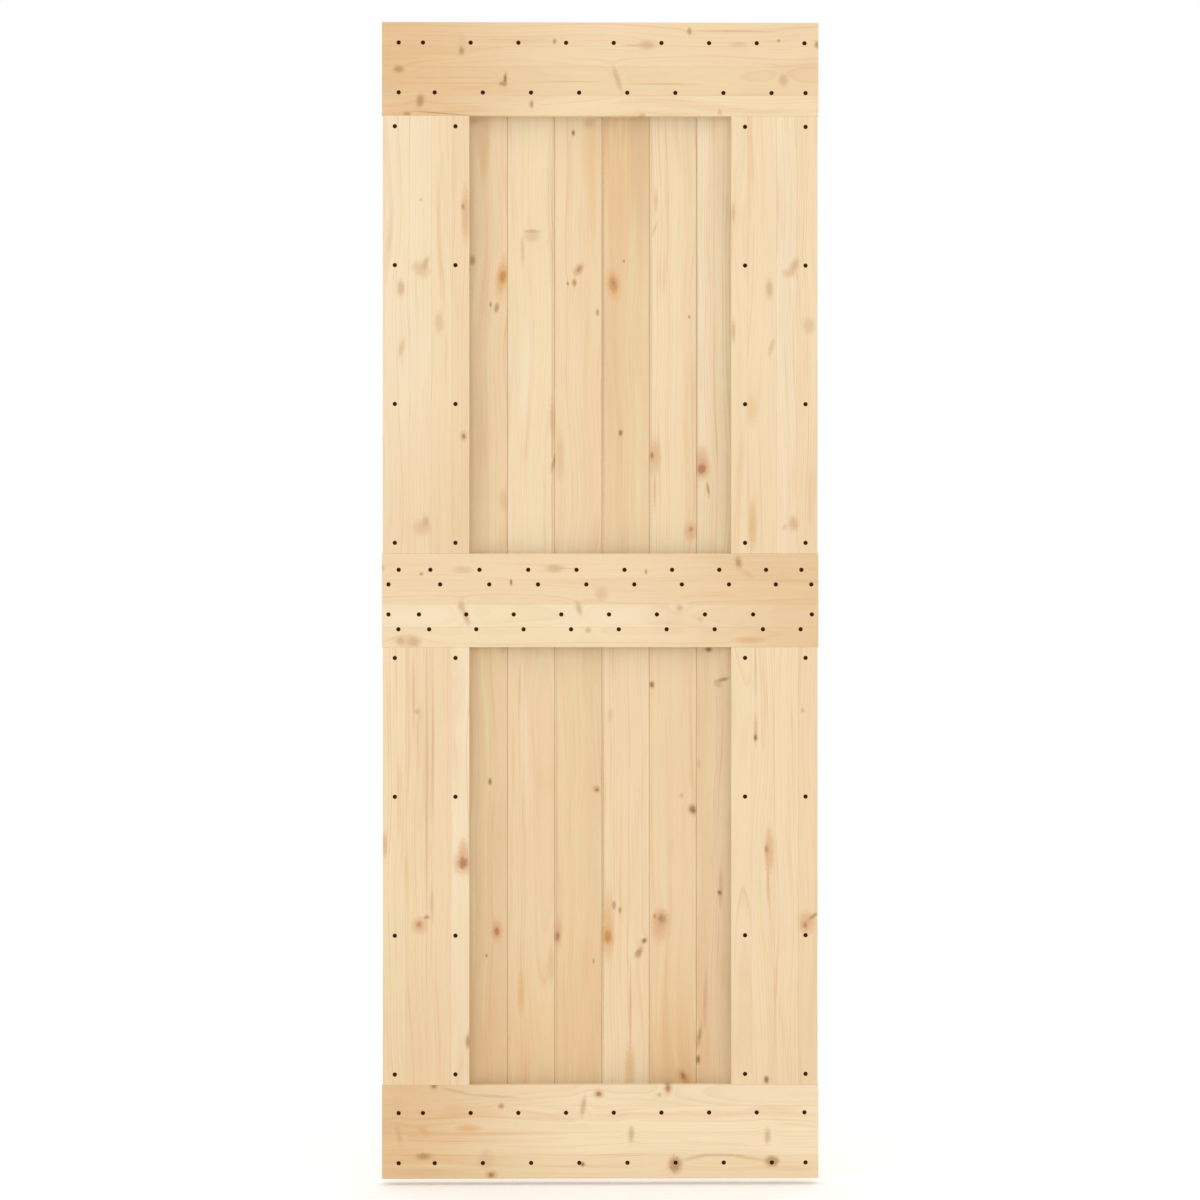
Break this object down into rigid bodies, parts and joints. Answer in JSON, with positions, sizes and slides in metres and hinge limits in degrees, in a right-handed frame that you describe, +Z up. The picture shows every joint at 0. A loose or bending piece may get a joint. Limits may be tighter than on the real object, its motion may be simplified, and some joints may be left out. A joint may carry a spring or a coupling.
{
  "type": "sliding barn door leaf",
  "caption": "Solid pine sliding door leaf with upright tongue-and-groove boards behind a face frame of rails and stiles, screwed from the front.",
  "frame": {"origin": "middle of the leaf's top edge, at mid thickness, on the top face of the top rail, where the leaf hangs from its track", "axes": "+X across the leaf, to the right as seen from the front; +Y through the leaf, from the framed front to the boarded back; +Z up"},
  "size_m": [0.793, 0.036, 2.1],
  "materials": {
    "top_rail": "matte",
    "middle_rail": "matte",
    "bottom_rail": "matte",
    "upper_left_stile": "matte",
    "upper_right_stile": "matte",
    "lower_left_stile": "matte",
    "lower_right_stile": "matte",
    "upper_board_01": "matte",
    "upper_board_02": "matte",
    "upper_board_03": "matte",
    "upper_board_04": "matte",
    "upper_board_05": "matte",
    "upper_board_06": "matte",
    "upper_board_07": "matte",
    "upper_board_08": "matte",
    "upper_board_09": "matte",
    "upper_board_10": "matte",
    "lower_board_01": "matte",
    "lower_board_02": "matte",
    "lower_board_03": "matte",
    "lower_board_04": "matte",
    "lower_board_05": "matte",
    "lower_board_06": "matte",
    "lower_board_07": "matte",
    "lower_board_08": "matte",
    "lower_board_09": "matte",
    "lower_board_10": "matte"
  },
  "bodies": {
    "root": {"top_rail": "top_rail", "middle_rail": "middle_rail", "bottom_rail": "bottom_rail", "upper_left_stile": "upper_left_stile", "upper_right_stile": "upper_right_stile", "lower_left_stile": "lower_left_stile", "lower_right_stile": "lower_right_stile", "upper_board_01": "upper_board_01", "upper_board_02": "upper_board_02", "upper_board_03": "upper_board_03", "upper_board_04": "upper_board_04", "upper_board_05": "upper_board_05", "upper_board_06": "upper_board_06", "upper_board_07": "upper_board_07", "upper_board_08": "upper_board_08", "upper_board_09": "upper_board_09", "upper_board_10": "upper_board_10", "lower_board_01": "lower_board_01", "lower_board_02": "lower_board_02", "lower_board_03": "lower_board_03", "lower_board_04": "lower_board_04", "lower_board_05": "lower_board_05", "lower_board_06": "lower_board_06", "lower_board_07": "lower_board_07", "lower_board_08": "lower_board_08", "lower_board_09": "lower_board_09", "lower_board_10": "lower_board_10"}
  },
  "joints": []
}
